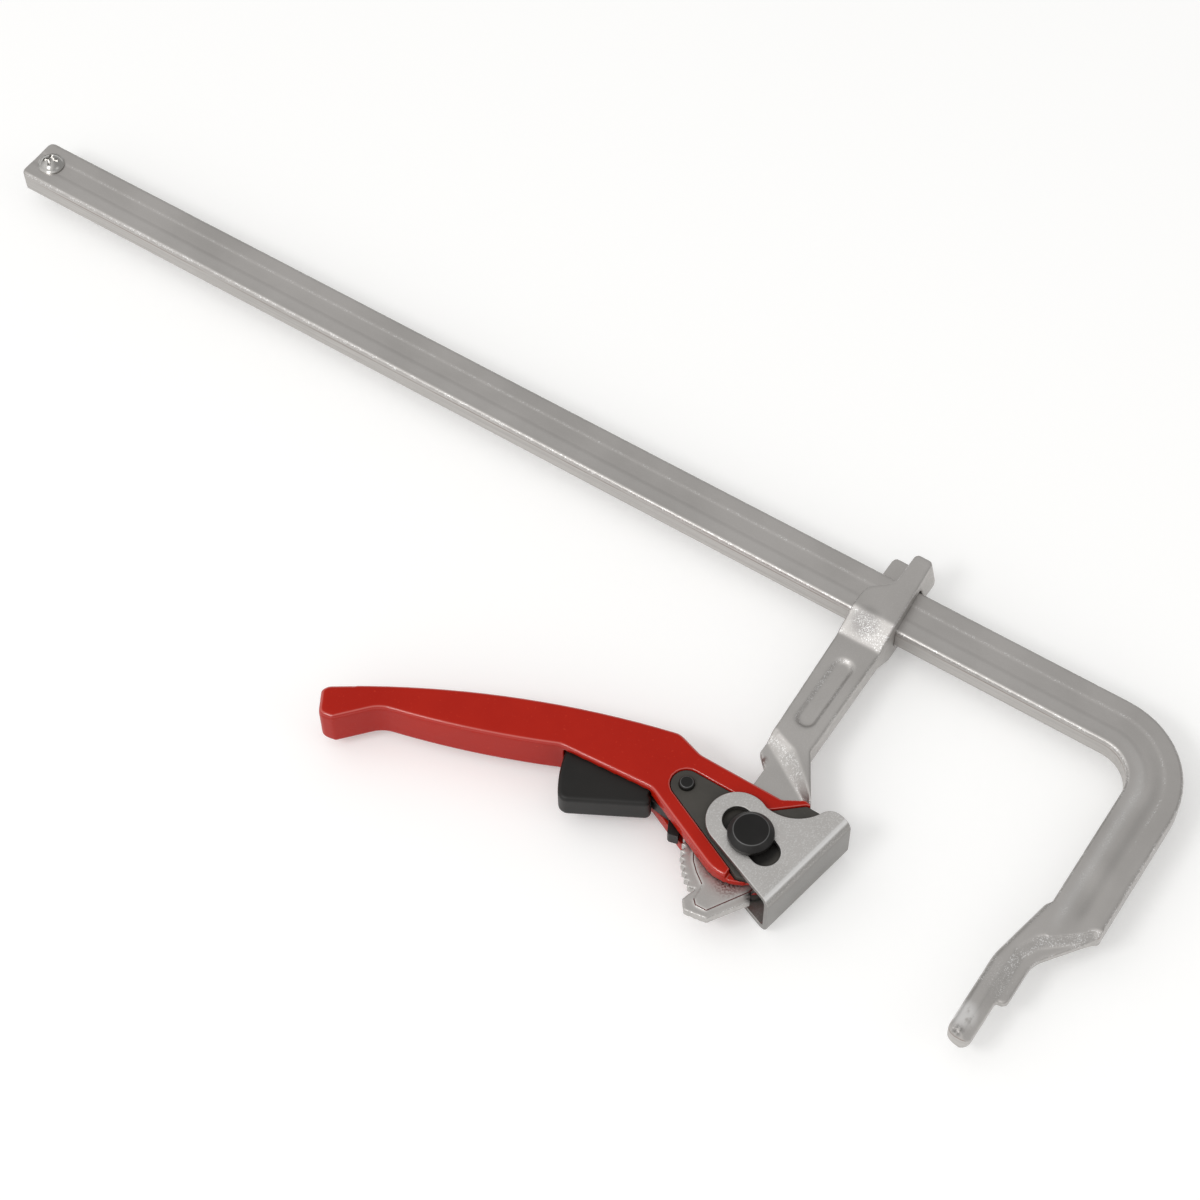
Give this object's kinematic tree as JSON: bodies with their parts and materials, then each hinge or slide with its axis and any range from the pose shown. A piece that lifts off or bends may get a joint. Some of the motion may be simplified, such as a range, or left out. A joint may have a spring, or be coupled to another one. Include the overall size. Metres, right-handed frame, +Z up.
{
  "type": "ratchet clamp",
  "caption": "Steel bar clamp with a red pump lever: the lever's cam pushes a U-shaped pressure bracket against the work and a trigger pawl holds it on ratchet teeth.",
  "frame": {"origin": "Centre of the fixed jaw's flat clamping face, on the mid-plane of the rail's thickness.", "axes": "+X runs along the rail from its free end towards the fixed jaw, +Y from the jaw tips across the throat to the rail, +Z up through the thickness, out of the side that carries the stop screw's head."},
  "size_m": [0.583, 0.1905, 0.0315],
  "materials": {
    "plated_steel": "satin zinc plating over forged and rolled steel",
    "screw_steel": "bright zinc plating",
    "red_paint": "semi-gloss red powder paint on a casting",
    "dark_steel": "dark grey phosphated steel, satin",
    "black_steel": "black oxide, satin",
    "black_plastic": "moulded black plastic, satin"
  },
  "bodies": {
    "frame_bar": {"rail": "plated_steel", "end_stop_screw": "screw_steel"},
    "slider": {"sliding_arm": "plated_steel"},
    "lever": {"handle_body": "red_paint", "cam_plate_upper": "dark_steel", "cam_plate_lower": "dark_steel", "pawl_pin": "black_steel", "pawl_spring": "screw_steel"},
    "trigger": {"pawl": "black_steel", "trigger_grip": "black_plastic", "trigger_rivets": "black_steel"},
    "pin": {"pivot_pin": "black_steel", "pivot_pin_cap": "black_steel"},
    "bracket": {"pressure_bracket": "plated_steel"}
  },
  "joints": [
    {"name": "arm_slide", "type": "slide", "parent": "frame_bar", "child": "slider", "axis": [1, 0, 0], "range_m": [-0.417, 0.06]},
    {"name": "handle_pivot", "type": "hinge", "parent": "slider", "child": "lever", "pos_m": [-0.099, 0.007, 0], "axis": [0, 0, 1], "range_deg": [-32, 12]},
    {"name": "bracket_swivel", "type": "hinge", "parent": "slider", "child": "pin", "pos_m": [-0.099, 0.007, 0], "axis": [0, 0, 1], "range_deg": [-6, 12]},
    {"name": "bracket_slide", "type": "slide", "parent": "pin", "child": "bracket", "axis": [0.9304, -0.3665, 0], "range_m": [-0.0022, 0.0058]},
    {"name": "trigger_pull", "type": "hinge", "parent": "lever", "child": "trigger", "pos_m": [-0.132, 0.0142, 0], "axis": [0, 0, 1], "range_deg": [-10, 0], "stiffness_Nm_per_rad": 0.6, "springref_deg": 5.73, "deforming": ["pawl_spring"]}
  ],
  "couplings": [
    {"joint": "bracket_slide", "follows": "handle_pivot", "m_per_rad": -0.010187}
  ]
}
